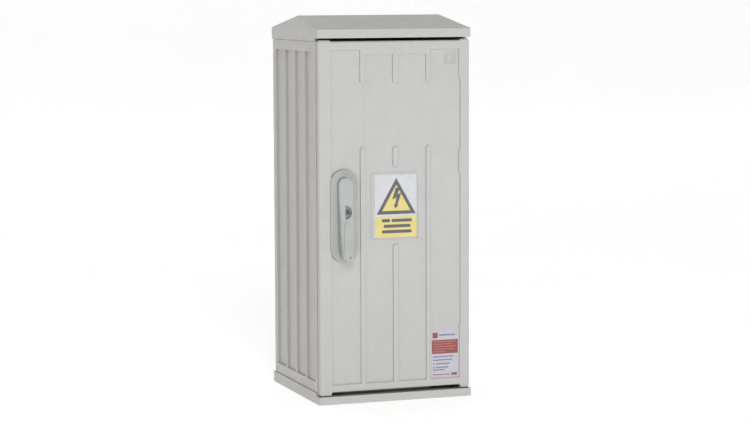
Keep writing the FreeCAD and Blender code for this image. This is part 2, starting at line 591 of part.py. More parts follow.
def make_pinion():
    outline = []
    for i in range(PINION_TEETH):
        middle = math.pi + 2 * math.pi * i / PINION_TEETH
        for radius, half in ((10.2, -0.95), (12.3, -0.38), (12.3, 0.38), (10.2, 0.95)):
            angle = middle + half / radius
            outline.append(V(LOCK_X + radius * math.cos(angle), -117.2, LOCK_Z + radius * math.sin(angle)))
    pinion = prism(outline, Y_AXIS * 6.6)
    return pinion.cut(square_bar(SPINDLE_HOLE_HALF - 0.05, -118, -108))


def rack_bar(side, z0, z1, teeth_z0, teeth_z1, first_tooth):
    """A lock rod with a rack cut on the edge that faces the pinion; side is -1 on the left."""
    near = LOCK_X + side * RACK_ROOT
    far = near + side * ROD_WIDTH
    bar = box(min(near, far), max(near, far), ROD_Y[0], ROD_Y[1], z0, z1)
    count = int((teeth_z1 - first_tooth) / TOOTH) + 1
    teeth = []
    for i in range(-int((first_tooth - teeth_z0) / TOOTH), count):
        z = first_tooth + i * TOOTH
        tip = near - side * 1.9
        root = near + side * 0.5
        points = [V(root, ROD_Y[0], z - 1.0), V(tip, ROD_Y[0], z - 0.35), V(tip, ROD_Y[0], z + 0.35),
                  V(root, ROD_Y[0], z + 1.0)]
        teeth.append(prism(points, Y_AXIS * (ROD_Y[1] - ROD_Y[0])))
    return fused(bar, *teeth)


def rod_slot(x, z0, z1):
    half = ROD_WIDTH / 2 + SLOT_PLAY
    return box(x - half, x + half, ROD_Y[0] - SLOT_PLAY, ROD_Y[1] + SLOT_PLAY, z0, z1)


def make_lock_case():
    y0, y1 = FLOOR_Y + SKIN, CASE_BACK_Y
    wall = CASE_WALL
    low, high = LOCK_Z - CASE_HALF_Z, LOCK_Z + CASE_HALF_Z
    x0, x1 = LOCK_X - CASE_HALF_X, LOCK_X + CASE_HALF_X
    case = rounded_box(x0, x1, y0, y1, low, high, 2.0, "y")
    case = case.cut(box(x0 + wall, x1 - wall, y0 - 1, y1 - wall, low + wall, high - wall))
    for x, z in ((KEEPER_X, high), (LOWER_KEEPER_X, low)):
        case = case.cut(rod_slot(x, z - 3, z + 3))
    return case.cut(on_lock_axis(4.1, -107, -103, LOCK_Z))


def make_rod_guide(x, z, door):
    guide = rounded_box(x - 7, x + 7, DOOR_FRONT_Y + SKIN - 0.5, ROD_Y[1] + 3, z, z + 12, 1.5, "z")
    return guide.cut(rod_slot(x, z - 1, z + 13)).cut(door)


# ---- cross rails between the side walls, and the keepers that the lock rods run into ----
def make_cross_rail(web_z0, web_z1, lip_z, keeper_x):
    """A web behind the walls' returns and a lip forward to the door seal, open where the keeper sits."""
    web_y = WALL_FRONT_Y + SKIN + 0.2
    web = box(-RAIL_REACH_X, RAIL_REACH_X, web_y, web_y + SKIN, web_z0, web_z1)
    lip_x = RETURN_FRONT_X - 0.5
    lip = box(-lip_x, lip_x, LIP_Y, web_y + 0.1, lip_z, lip_z + SKIN)
    rail = fused(web, lip)
    left, right = keeper_x - KEEPER_HALF, keeper_x + KEEPER_HALF
    rail = rail.cut(box(left, right, LIP_Y - 1, web_y, lip_z - 1, lip_z + 4))
    end_screws = [(sx * RAIL_SCREW_X, z) for sx in (-1, 1) for z in RAIL_SCREW_Z if web_z0 < z < web_z1]
    keeper_screws = [(keeper_x + sx * KEEPER_SCREW_X, (web_z0 + web_z1) / 2) for sx in (-1, 1)]
    for x, z in end_screws + keeper_screws:
        rail = rail.cut(rod(2.1, V(x, web_y - 1, z), V(x, web_y + 5, z)))
    return rail


def make_keeper(x, plate_z, fold_z0, fold_z1):
    """A folded steel plate: the level leaf has the rod's hole, the upright one is screwed to the rail."""
    back = WALL_FRONT_Y + SKIN + 0.1
    leaf = box(x - 12, x + 12, LIP_Y + 0.5, back, plate_z, plate_z + 2)
    fold = box(x - 12, x + 12, back - 2, back, fold_z0, fold_z1)
    keeper = fused(leaf, fold)
    hole = rounded_box(x - 4.2, x + 4.2, ROD_Y[0] - 0.8, ROD_Y[1] + 0.3, plate_z - 1, plate_z + 3, 0.4, "z")
    keeper = keeper.cut(hole)
    screw_z = (fold_z0 + fold_z1) / 2
    for screw_x in (x - KEEPER_SCREW_X, x + KEEPER_SCREW_X):
        keeper = keeper.cut(rod(2.1, V(screw_x, -120, screw_z), V(screw_x, -100, screw_z)))
    return keeper


def make_seal():
    y0, y1 = DOOR_FRONT_Y + SKIN, LIP_Y - 0.2
    ring = rounded_box(-122.5, 122.5, y0, y1, 25.0, 589.0, 5.0, "y")
    ring = ring.cut(rounded_box(-116.5, 116.5, y0 - 1, y1 + 1, 31.0, 583.0, 3.0, "y"))
    bead = box(-122.5, 122.5, y1 - 0.9, y1 + 1, 25.0, 589.0)
    groove = rounded_box(-120.5, 120.5, y1 - 0.9, y1 + 1, 27.0, 587.0, 4.0, "y")
    groove = groove.cut(rounded_box(-118.5, 118.5, y1 - 2, y1 + 2, 29.0, 585.0, 3.0, "y"))
    return ring.cut(bead.common(groove))


def make_pocket(door):
    x0, x1, z0, z1 = -55.0, 75.0, 120.0, 232.0
    y0, y1 = DOOR_FRONT_Y + SKIN - 0.5, -110.0
    pocket = rounded_box(x0, x1, y0, y1, z0, z1, 2.5, "z")
    pocket = pocket.cut(box(x0 + 1.6, x1 - 1.6, -118.0, y1 - 1.6, z0 + 1.6, z1 + 1))
    pocket = pocket.cut(box(x0 + 30, x1 - 30, y1 - 3, y1 + 1, z1 - 22, z1 + 1))
    return max(pocket.cut(door).Solids, key=lambda solid: solid.Volume)


# ---- inside: mounting plate, fuse-switch, busbar and cable clamps ----
def make_mounting_plate():
    plate = rounded_box(-103.0, 103.0, PLATE_Y, PLATE_Y + PLATE_T, 62.0, 540.0, 6.0, "y")
    for x in (-STANDOFF_X, STANDOFF_X):
        for z in STANDOFF_Z:
            plate = plate.cut(rod(3.3, V(x, PLATE_Y - 1, z), V(x, PLATE_Y + 5, z)))
    return plate


def make_switch_body():
    half = SWITCH_WIDTH / 2
    z0, z1 = SWITCH_Z, SWITCH_Z + SWITCH_HEIGHT
    body = rounded_box(-half, half, 40.0, PLATE_Y, z0, z1, 3.0, "y")
    for i in range(4):
        x = (i - 1.5) * BAY
        body = fused(body, box(max(x - 1.25, -half), min(x + 1.25, half), 14.0, 41.0, z0 + 32, z0 + 144))
    for i in range(3):
        x = (i - 1) * BAY
        for low, high in ((z0 - 1, z0 + 24), (z1 - 24, z1 + 1)):
            body = body.cut(box(x - 12.5, x + 12.5, 39.0, 66.0, low, high))
    ears = [box(sx * 46 - 5, sx * 46 + 5, 28.0, 41.0, z0 + 6, z0 + 18) for sx in (-1, 1)]
    body = fused(body, *ears)
    for sx in (-1, 1):
        body = body.cut(rod(2.56, V(sx * 46 - 6, COVER_Y, COVER_Z), V(sx * 46 + 6, COVER_Y, COVER_Z)))
    return body


def make_cover():
    half = 40.0
    front = rounded_box(-half - 10, half + 10, -6.0, 10.0, 284.0, 394.0, 4.0, "y")
    front = front.cut(box(-half - 7.5, half + 7.5, -3.0, 11.0, 287.0, 391.0))
    grip = rounded_box(-34, 34, -34.0, -5.0, 360.0, 382.0, 4.0, "x")
    grip = grip.cut(box(-28, 28, -28.0, -6.5, 350.0, 376.0))
    arms = [box(sx * 38 - 2.5, sx * 38 + 2.5, 4.0, 35.0, 256.0, 268.0) for sx in (-1, 1)]
    links = [box(sx * 38 - 2.5, sx * 38 + 2.5, -4.0, 10.0, 256.0, 290.0) for sx in (-1, 1)]
    holders = []
    for i in range(3):
        x = (i - 1) * BAY
        holders.append(box(x - 4, x + 4, -4.0, 16.5, 330.0, 356.0))
    cover = fused(front, grip, *arms, *links, *holders)
    pins = [rod(2.5, V(sx * 36, COVER_Y, COVER_Z), V(sx * 50.5, COVER_Y, COVER_Z)) for sx in (-1, 1)]
    cover = fused(cover, *pins)
    return cover.cut(box(-22, 22, -6.5, -2.5, 300.0, 322.0))


def make_fuse_link(x):
    body = rounded_box(x - 10, x + 10, 17.0, 37.0, FUSE_Z[0], FUSE_Z[1], 2.0, "z")
    lower = box(x - 1.5, x + 1.5, 20.0, 34.0, JAW_Z[0][0], FUSE_Z[0] + 1)
    upper = box(x - 1.5, x + 1.5, 20.0, 34.0, FUSE_Z[1] - 1, JAW_Z[1][1])
    return fused(body, lower, upper)


def make_jaw(x, z0, z1):
    leaves = [box(x + left, x + left + 1.2, 22.0, 39.9, z0, z1) for left in (-3.0, 1.8)]
    return fused(box(x - 3.0, x + 3.0, 36.5, 39.9, z0, z1), *leaves)


def make_terminal(x, z0, z1):
    tab = box(x - 10, x + 10, 60.0, 64.0, z0, z1)
    return tab.cut(rod(4.3, V(x, 59, (z0 + z1) / 2), V(x, 65, (z0 + z1) / 2)))


def hex_bolt(x, y, z, tip_y, head_flat=13.0, shank_r=4.0):
    """A hexagon bolt along +Y whose head bears on the plane at y."""
    radius = head_flat / math.sqrt(3)
    corners = [V(x + radius * math.cos(math.radians(60 * i)), y, z + radius * math.sin(math.radians(60 * i)))
               for i in range(6)]
    head = prism(corners, V(0, -5.3, 0))
    return fused(head, rod(shank_r, V(x, y - 0.01, z), V(x, tip_y, z)))


def make_busbar():
    bar = box(-BUSBAR_HALF, BUSBAR_HALF, *BUSBAR_Y, *BUSBAR_Z)
    middle = sum(BUSBAR_Z) / 2
    for x in BUSBAR_BOLTS_X:
        bar = bar.cut(rod(4.3, V(x, 50, middle), V(x, 70, middle)))
    for sx in (-1, 1):
        bar = bar.cut(rod(3.3, V(sx * SUPPORT_X, 50, middle), V(sx * SUPPORT_X, 70, middle)))
    return bar


def make_support(x):
    block = rounded_box(x - 9, x + 9, BUSBAR_Y[1], PLATE_Y, 188.0, 216.0, 3.0, "y")
    return block.cut(rod(3.05, V(x, 60, 202), V(x, 72, 202)))


def make_clamp_rail():
    rail = box(-98.0, 98.0, *RAIL_Y, *RAIL_Z)
    rail = rail.cut(box(-99, 99, RAIL_Y[0] + 1.8, RAIL_Y[1] - 1.8, RAIL_Z[0] + 1.8, RAIL_Z[1] - 1.8))
    rail = rail.cut(box(-85, 85, RAIL_Y[0] - 1, RAIL_Y[0] + 3, RAIL_Z[0] + 5.5, RAIL_Z[1] - 5.5))
    for sx in (-1, 1):
        x = sx * INSIDE_SCREW_X
        rail = rail.cut(rod(3.3, V(x, 40, RAIL_MIDDLE_Z), V(x, 70, RAIL_MIDDLE_Z)))
    return rail


def make_rail_spacer(x):
    block = rounded_box(x - 8, x + 8, RAIL_Y[1], PLATE_Y, 98.0, 114.0, 2.0, "y")
    return block.cut(rod(3.05, V(x, 58, RAIL_MIDDLE_Z), V(x, 70, RAIL_MIDDLE_Z)))


def make_clamp(x):
    """A saddle that wraps the front half of a cable, with a foot on each side."""
    z0, z1 = CLAMP_Z
    back = RAIL_Y[0] - 0.1
    centre_y = RAIL_Y[0] - CABLE_R
    outer = CABLE_R + 3
    foot = CABLE_R + 11
    shell = rod(outer, V(x, centre_y, z0), V(x, centre_y, z1))
    shell = fused(shell, box(x - outer, x + outer, centre_y, back, z0, z1))
    feet = box(x - foot, x + foot, back - 3, back, z0, z1)
    tunnel = rod(CABLE_R, V(x, centre_y, z0 - 1), V(x, centre_y, z1 + 1))
    mouth = box(x - CABLE_R, x + CABLE_R, centre_y, back + 5, z0 - 1, z1 + 1)
    behind = box(x - 40, x + 40, back, back + 10, z0 - 1, z1 + 1)
    clamp = fused(shell, feet).cut(tunnel).cut(mouth).cut(behind)
    for sx in (-1, 1):
        bolt_x = x + sx * CLAMP_BOLT_X
        clamp = clamp.cut(rod(2.6, V(bolt_x, 30, RAIL_MIDDLE_Z), V(bolt_x, 60, RAIL_MIDDLE_Z)))
    return clamp


# ---- the assembly ----
def build_shell():
    node("base_tray", make_base())
    wall = make_side_wall()
    node("side_wall_right", wall)
    node("side_wall_left", mirrored(wall))
    node("rear_wall", make_rear_wall())
    node("roof", make_roof())
    node("upper_cross_rail", make_cross_rail(560.0, 588.0, 585.0, KEEPER_X))
    node("lower_cross_rail", make_cross_rail(26.0, 56.0, 26.0, LOWER_KEEPER_X))
    node("upper_keeper", make_keeper(KEEPER_X, 585.5, 564.0, 587.5))
    node("lower_keeper", make_keeper(LOWER_KEEPER_X, 26.5, 26.5, 50.0))
    node("hinge_pin_lower", on_hinge_axis(HINGE_PIN_R, 3.2, DOOR_BOTTOM_Z + 14))
    node("hinge_pin_upper", on_hinge_axis(HINGE_PIN_R, DOOR_TOP_Z - 14, EAVE_Z - 4.5))
    washer = on_hinge_axis(4.6, SILL_Z, SILL_Z + 0.8)
    node("hinge_washer", washer.cut(on_hinge_axis(HINGE_PIN_R + RUNNING, 0, 20)))


def build_door():
    door = make_door()
    node("door", door)
    node("door_seal", make_seal().cut(door))
    node("document_pocket", make_pocket(door))
    x0, x1, z0, z1 = STICKER_FRAME
    node("warning_sticker", box(x0 + 6.2, x1 - 3.3, FLOOR_Y - 0.3, FLOOR_Y, z0 + 4.5, z1 - 3.0))
    x0, x1, z0, z1 = TYPE_LABEL
    node("type_label", box(x0, x1, FLOOR_Y - 0.2, FLOOR_Y, z0, z1))
    node("lock_plate", make_lock_plate())
    screws = [screw(V(LOCK_X, FLOOR_Y + SKIN, z), V(LOCK_X, DOOR_FRONT_Y - 1.8, z), 6.0, 1.8, 1.9)
              for z in LOCK_SCREW_Z]
    node("lock_plate_screws", *screws)
    node("lock_case", make_lock_case())
    upper = KEEPER_X
    lower = LOWER_KEEPER_X
    node("rod_guides", make_rod_guide(upper, 470.0, door), make_rod_guide(upper, 548.0, door),
         make_rod_guide(lower, 190.0, door), make_rod_guide(lower, 60.0, door))
    node("upper_lock_rod",
         rack_bar(-1, LOCK_Z - 4, UPPER_ROD_TOP, LOCK_Z - 3, LOCK_Z + 21, LOCK_Z + TOOTH / 2))
    node("lower_lock_rod", rack_bar(1, LOWER_ROD_BOTTOM, LOCK_Z + 4, LOCK_Z - 21, LOCK_Z + 3, LOCK_Z))
    node("lock_hub", make_hub())
    node("spindle", square_bar(SPINDLE_HALF, -120.9, -107.0))
    node("lock_pinion", make_pinion())
    node("lever", make_lever())
    node("lever_grip", make_grip())
    left, right = LOCK_X - 9.5, LOCK_X + 9.5
    node("lever_pivot_pin", rod(PIVOT_PIN_R, V(left, PIVOT_Y, PIVOT_Z), V(right, PIVOT_Y, PIVOT_Z)))
    housing = half_disc(CYLINDER_X, CYLINDER_Z, CYLINDER_R, -140.4, -135.05)
    housing = housing.cut(on_lock_axis(PLUG_R + RUNNING, -150, -130, CYLINDER_Z, PLUG_X))
    node("lock_cylinder", housing)
    plug = on_lock_axis(PLUG_R, -140.6, -134.4, CYLINDER_Z, PLUG_X)
    keyway = box(PLUG_X - 0.6, PLUG_X + 0.6, -141, -137, CYLINDER_Z - 3.2, CYLINDER_Z + 3.2)
    node("cylinder_plug", plug.cut(keyway))
    cam = fused(on_lock_axis(3.6, -134.4, -132.6, CYLINDER_Z, PLUG_X),
                box(PLUG_X - 8.0, PLUG_X, -134.4, -132.6, CYLINDER_Z - 2.2, CYLINDER_Z + 2.2))
    node("cylinder_cam", cam)


def build_inside():
    node("mounting_plate", make_mounting_plate())
    places = [(sx * STANDOFF_X, z) for sx in (-1, 1) for z in STANDOFF_Z]
    standoffs = [rod(7.0, V(x, PLATE_Y + PLATE_T, z), V(x, REAR_Y - SKIN, z))
                 .cut(rod(3.05, V(x, PLATE_Y, z), V(x, REAR_Y, z))) for x, z in places]
    node("standoffs", *standoffs)
    node("plate_screws", *[screw(V(x, PLATE_Y, z), V(x, 96.0, z), 6.0, 3.2, 3.0) for x, z in places])
    node("standoff_screws", *[screw(V(x, REAR_Y, z), V(x, 104.0, z), 6.0, 3.2, 3.0) for x, z in places])
    node("switch_body", make_switch_body())
    node("switch_cover", make_cover())
    bays = [(i - 1) * BAY for i in range(3)]
    node("fuse_links", *[make_fuse_link(x) for x in bays])
    node("fuse_jaws", *[make_jaw(x, z0, z1) for x in bays for z0, z1 in JAW_Z])
    top = SWITCH_Z + SWITCH_HEIGHT
    terminals = [(x, z0, z1) for x in bays for z0, z1 in ((SWITCH_Z + 2, SWITCH_Z + 23), (top - 23, top - 2))]
    node("switch_terminals", *[make_terminal(*place) for place in terminals])
    node("terminal_bolts", *[hex_bolt(x, 60.0, (z0 + z1) / 2, 65.9) for x, z0, z1 in terminals])
    node("pen_busbar", make_busbar())
    node("busbar_supports", make_support(-SUPPORT_X), make_support(SUPPORT_X))
    middle = sum(BUSBAR_Z) / 2
    node("busbar_bolts", *[hex_bolt(x, BUSBAR_Y[0], middle, BUSBAR_Y[1] + 10) for x in BUSBAR_BOLTS_X])
    node("support_screws", *[hex_bolt(x, BUSBAR_Y[0], middle, 70.0, 10.0, 3.0)
                             for x in (-SUPPORT_X, SUPPORT_X)])
    node("clamp_rail", make_clamp_rail())
    node("rail_spacers", make_rail_spacer(-INSIDE_SCREW_X), make_rail_spacer(INSIDE_SCREW_X))
    node("rail_screws", *[hex_bolt(sx * INSIDE_SCREW_X, RAIL_Y[0], RAIL_MIDDLE_Z, 69.0, 10.0, 3.0)
                          for sx in (-1, 1)])
    node("cable_clamps", *[make_clamp(x) for x in CLAMPS_X])
    node("clamp_bolts", *[hex_bolt(x + sx * CLAMP_BOLT_X, RAIL_Y[0] - 3.1, RAIL_MIDDLE_Z, 57.0, 8.0, 2.5)
                          for x in CLAMPS_X for sx in (-1, 1)])


def build_screws():
    roof_screws = []
    base_screws = []
    for y in TONGUE_SCREW_Y:
        low, high = TONGUE_SCREW_Z
        roof_screws.append(screw(V(TONGUE_X, y, high), V(SIDE_X - 0.2, y, high), 4.0, 2.2, 2.0))
        base_screws.append(screw(V(TONGUE_X, y, low), V(BASE_X - 1.6, y, low), 4.0, 2.2, 2.0))
    node("roof_screws", *roof_screws, *[mirrored(item) for item in roof_screws])
    node("base_screws", *base_screws, *[mirrored(item) for item in base_screws])
    rear = [screw(V(REAR_SCREW_X, REAR_Y, z), V(REAR_SCREW_X, 112.0, z), 4.6, 2.2, 2.45)
            for z in REAR_SCREW_Z]
    node("rear_wall_screws", *rear, *[mirrored(item) for item in rear])
    x, face = RAIL_SCREW_X, WALL_FRONT_Y
    rails = [fused(rod(4.0, V(x, face + 0.1, z), V(x, face + 1.6, z)),
                   rod(2.0, V(x, face + 1.5, z), V(x, face + 8.5, z))) for z in RAIL_SCREW_Z]
    node("rail_side_screws", *rails, *[mirrored(item) for item in rails])


def main():
    build_shell()
    build_door()
    build_inside()
    build_screws()
    os.makedirs("parts", exist_ok=True)
    for name, shape in NODES.items():
        shape.exportStep(f"parts/{name}.step")


main()
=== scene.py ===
"""Looks of the free-standing polyester cable cabinet: materials, printed stickers, light and camera.

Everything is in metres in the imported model's frame: +Z up, the door faces -Y, the hinge is on the +X side.
"""
import json
import math

import bmesh
import bpy
from mathutils import Matrix, Vector


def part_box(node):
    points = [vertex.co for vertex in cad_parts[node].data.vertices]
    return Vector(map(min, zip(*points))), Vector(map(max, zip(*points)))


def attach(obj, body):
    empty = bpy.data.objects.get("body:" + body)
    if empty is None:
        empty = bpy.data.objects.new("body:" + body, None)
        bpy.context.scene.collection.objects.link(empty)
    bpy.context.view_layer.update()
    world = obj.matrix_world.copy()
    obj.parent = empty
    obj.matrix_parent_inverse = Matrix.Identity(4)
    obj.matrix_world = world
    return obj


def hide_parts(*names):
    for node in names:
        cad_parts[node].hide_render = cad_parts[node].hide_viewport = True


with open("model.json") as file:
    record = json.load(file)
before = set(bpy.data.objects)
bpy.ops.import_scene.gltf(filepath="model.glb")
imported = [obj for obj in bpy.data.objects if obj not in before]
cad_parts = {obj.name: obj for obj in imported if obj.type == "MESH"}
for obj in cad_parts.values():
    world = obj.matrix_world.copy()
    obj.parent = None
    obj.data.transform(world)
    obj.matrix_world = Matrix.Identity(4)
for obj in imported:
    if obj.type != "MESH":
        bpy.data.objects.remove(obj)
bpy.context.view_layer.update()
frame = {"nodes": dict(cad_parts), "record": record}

MM = 0.001


# ---------------------------------------------------------------- small helpers
def new_object(name, mesh_maker, material, body, smooth_angle=None):
    """An object from a function that fills a bmesh, with its material, riding on a body."""
    mesh = bpy.data.meshes.new(name)
    maker = bmesh.new()
    mesh_maker(maker)
    bmesh.ops.recalc_face_normals(maker, faces=maker.faces)
    maker.to_mesh(mesh)
    maker.free()
    if smooth_angle is not None:
        mesh.shade_smooth()
        mesh.set_sharp_from_angle(angle=math.radians(smooth_angle))
    made = bpy.data.objects.new(name, mesh)
    bpy.context.collection.objects.link(made)
    made.data.materials.append(material)
    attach(made, body)
    return made


def rounded_rectangle(x0, x1, z0, z1, radius, steps=5):
    """Corner points of a rectangle with rounded corners, counter-clockwise in X and Z."""
    points = []
    corners = [(x1 - radius, z0 + radius, -90), (x1 - radius, z1 - radius, 0),
               (x0 + radius, z1 - radius, 90), (x0 + radius, z0 + radius, 180)]
    for cx, cz, start in corners:
        for i in range(steps + 1):
            angle = math.radians(start + 90 * i / steps)
            points.append((cx + radius * math.cos(angle), cz + radius * math.sin(angle)))
    return points


def slab(maker, outline, front_y, depth):
    """A flat piece facing -Y: its outline in X and Z, its front plane and its thickness."""
    front = [maker.verts.new((x, front_y, z)) for x, z in outline]
    back = [maker.verts.new((x, front_y + depth, z)) for x, z in outline]
    maker.faces.new(front)
    maker.faces.new(back[::-1])
    for i in range(len(outline)):
        j = (i + 1) % len(outline)
        maker.faces.new((front[i], back[i], back[j], front[j]))


def slabs(name, outlines, front_y, depth, material, body):
    def fill(maker):
        for outline in outlines:
            slab(maker, outline, front_y, depth)
    return new_object(name, fill, material, body)


# ---------------------------------------------------------------- material helpers
class Nodes:
    """Short names for building one material's node tree."""

    def __init__(self, name):
        self.material = bpy.data.materials.new(name)
        self.material.use_nodes = True
        self.tree = self.material.node_tree
        self.shader = self.tree.nodes["Principled BSDF"]
        self.place = self.add("ShaderNodeTexCoord").outputs["Object"]

    def add(self, kind, **values):
        made = self.tree.nodes.new(kind)
        for key, value in values.items():
            setattr(made, key, value)
        return made

    def link(self, source, target):
        self.tree.links.new(source, target)

    def stretched(self, scale):
        mapping = self.add("ShaderNodeMapping")
        mapping.inputs["Scale"].default_value = scale
        self.link(self.place, mapping.inputs["Vector"])
        return mapping.outputs["Vector"]

    def noise(self, scale, detail=3.0, roughness=0.5, vector=None):
        made = self.add("ShaderNodeTexNoise")
        made.inputs["Scale"].default_value = scale
        made.inputs["Detail"].default_value = detail
        made.inputs["Roughness"].default_value = roughness
        self.link(vector or self.place, made.inputs["Vector"])
        return made.outputs["Fac"]

    def cells(self, scale, vector=None):
        made = self.add("ShaderNodeTexVoronoi")
        made.inputs["Scale"].default_value = scale
        self.link(vector or self.place, made.inputs["Vector"])
        return made.outputs["Distance"]

    def ramp(self, source, stops):
        made = self.add("ShaderNodeValToRGB")
        first, last = made.color_ramp.elements[0], made.color_ramp.elements[1]
        first.position, first.color = stops[0][0], (*stops[0][1], 1)
        last.position, last.color = stops[-1][0], (*stops[-1][1], 1)
        for position, colour in stops[1:-1]:
            made.color_ramp.elements.new(position).color = (*colour, 1)
        self.link(source, made.inputs["Fac"])
        return made.outputs["Color"]

    def spread(self, source, low, high, from_low=0.3, from_high=0.7):
        made = self.add("ShaderNodeMapRange")
        made.inputs["From Min"].default_value = from_low
        made.inputs["From Max"].default_value = from_high
        made.inputs["To Min"].default_value = low
        made.inputs["To Max"].default_value = high
        self.link(source, made.inputs["Value"])
        return made.outputs["Result"]

    def mixed(self, factor, first, second, blend="MIX"):
        made = self.add("ShaderNodeMix", data_type="RGBA", blend_type=blend)
        if isinstance(factor, float):
            made.inputs["Factor"].default_value = factor
        else:
            self.link(factor, made.inputs["Factor"])
        self.link(first, made.inputs["A"])
        self.link(second, made.inputs["B"])
        return made.outputs["Result"]

    def bumps(self, layers):
        """Bump layers as (height source, strength, distance in metres), the first one deepest."""
        normal = None
        for source, strength, distance in layers:
            bump = self.add("ShaderNodeBump")
            bump.inputs["Strength"].default_value = strength
            bump.inputs["Distance"].default_value = distance
            self.link(source, bump.inputs["Height"])
            if normal is not None:
                self.link(normal, bump.inputs["Normal"])
            normal = bump.outputs["Normal"]
        self.link(normal, self.shader.inputs["Normal"])


def tint(colour, amount):
    return tuple(min(1.0, channel * amount) for channel in colour)


# ---------------------------------------------------------------- materials
POLYESTER_GREY = (0.470, 0.463, 0.449)
DUST_TOP = 0.09                           # metres above the ground where the dust ends
EVEN_GRAIN = (1.0, 1.0, 1.0)
DRAWN_ALONG_X = (0.06, 1.0, 1.0)
DRAWN_ALONG_Z = (1.0, 1.0, 0.06)


def pressed_polyester(name, colour, dirt=0.10, gloss=0.40):
    """Pressed glass-fibre polyester: faint fibre mottling, orange-peel skin, dust towards the ground."""
    n = Nodes(name)
    fibres = n.noise(160.0, 6.0, 0.62, n.stretched((1.0, 1.0, 0.55)))
    mottle = n.ramp(fibres, [(0.30, tint(colour, 0.975)), (0.50, colour), (0.72, tint(colour, 1.02))])
    cloud = n.noise(9.0, 3.0, 0.5)
    clouded = n.ramp(cloud, [(0.35, (0.985, 0.985, 0.985)), (0.65, (1.0, 1.0, 1.0))])
    base = n.mixed(1.0, mottle, clouded, "MULTIPLY")
    height = n.add("ShaderNodeSeparateXYZ")
    n.link(n.place, height.inputs["Vector"])
    low = n.spread(height.outputs["Z"], dirt, 0.0, 0.0, DUST_TOP)
    specks = n.spread(n.noise(60.0, 5.0, 0.7), 0.0, 1.0, 0.42, 0.62)
    amount = n.add("ShaderNodeMath", operation="MULTIPLY")
    n.link(low, amount.inputs[0])
    n.link(specks, amount.inputs[1])
    dust = n.ramp(fibres, [(0.3, (0.40, 0.36, 0.30)), (0.7, (0.50, 0.46, 0.40))])
    n.link(n.mixed(amount.outputs["Value"], base, dust), n.shader.inputs["Base Color"])
    n.link(n.spread(n.noise(34.0, 4.0, 0.6), gloss - 0.05, gloss + 0.08), n.shader.inputs["Roughness"])
    n.bumps([(n.noise(22.0, 2.0, 0.5), 0.10, 0.0006), (n.noise(420.0, 3.0, 0.55), 0.16, 0.00022),
             (n.cells(900.0), 0.08, 0.00012)])
    return n.material


def moulded_plastic(name, colour, gloss=0.45, grain=700.0, depth=0.00008):
    """Injection-moulded plastic with a spark-eroded grain and slightly uneven colour."""
    n = Nodes(name)
    patches = n.noise(26.0, 4.0, 0.6)
    shades = [(0.3, tint(colour, 0.93)), (0.7, tint(colour, 1.05))]
    n.link(n.ramp(patches, shades), n.shader.inputs["Base Color"])
    n.link(n.spread(n.noise(80.0, 3.0), gloss - 0.06, gloss + 0.07), n.shader.inputs["Roughness"])
    n.bumps([(n.noise(grain, 2.0, 0.6), 0.25, depth), (n.cells(grain * 0.6), 0.12, depth)])
    return n.material


def plated_steel(name, colour, gloss=0.32, grain=DRAWN_ALONG_Z):
    """Zinc or nickel plate with drawn lines along the piece and cloudy passivation."""
    n = Nodes(name)
    n.shader.inputs["Metallic"].default_value = 1.0
    cloud = n.noise(55.0, 5.0, 0.65)
    warm = (colour[0] * 1.04, colour[1], colour[2] * 0.90)
    cool = (colour[0] * 0.93, colour[1] * 0.97, colour[2] * 1.05)
    n.link(n.ramp(cloud, [(0.32, cool), (0.50, colour), (0.68, warm)]), n.shader.inputs["Base Color"])
    lines = n.noise(900.0, 2.0, 0.5, n.stretched(grain))
    n.link(n.spread(lines, gloss - 0.08, gloss + 0.12), n.shader.inputs["Roughness"])
    n.bumps([(lines, 0.12, 0.00005), (n.noise(240.0, 3.0), 0.08, 0.00006)])
    return n.material


def printed_film(name, colour, gloss=0.28):
    """Printed sticker film: a faint screen-print texture under a thin laminate."""
    n = Nodes(name)
    patches = n.noise(70.0, 4.0, 0.6)
    shades = [(0.3, tint(colour, 0.965)), (0.7, tint(colour, 1.02))]
    n.link(n.ramp(patches, shades), n.shader.inputs["Base Color"])
    n.link(n.spread(n.noise(160.0, 3.0), gloss - 0.04, gloss + 0.10), n.shader.inputs["Roughness"])
    n.shader.inputs["Coat Weight"].default_value = 0.15
    n.bumps([(n.noise(45.0, 2.0), 0.10, 0.0001), (n.noise(1500.0, 1.0), 0.05, 0.00002)])
    return n.material


def laminate(name, colour):
    """Glass-cloth laminate: a visible plain weave under resin."""
    n = Nodes(name)
    waves = []
    for direction in ("X", "Z"):
        wave = n.add("ShaderNodeTexWave", bands_direction=direction)
        wave.inputs["Scale"].default_value = 260.0
        wave.inputs["Distortion"].default_value = 0.6
        n.link(n.place, wave.inputs["Vector"])
        waves.append(wave.outputs["Fac"])
    weave = n.add("ShaderNodeMath", operation="MULTIPLY")
    n.link(waves[0], weave.inputs[0])
    n.link(waves[1], weave.inputs[1])
    shade = n.ramp(weave.outputs["Value"], [(0.0, tint(colour, 0.86)), (1.0, tint(colour, 1.08))])
    cloud = n.ramp(n.noise(14.0, 4.0), [(0.3, (0.92, 0.92, 0.92)), (0.7, (1.0, 1.0, 1.0))])
    n.link(n.mixed(1.0, shade, cloud, "MULTIPLY"), n.shader.inputs["Base Color"])
    n.link(n.spread(n.noise(120.0), 0.35, 0.50), n.shader.inputs["Roughness"])
    n.bumps([(weave.outputs["Value"], 0.15, 0.00008)])
    return n.material


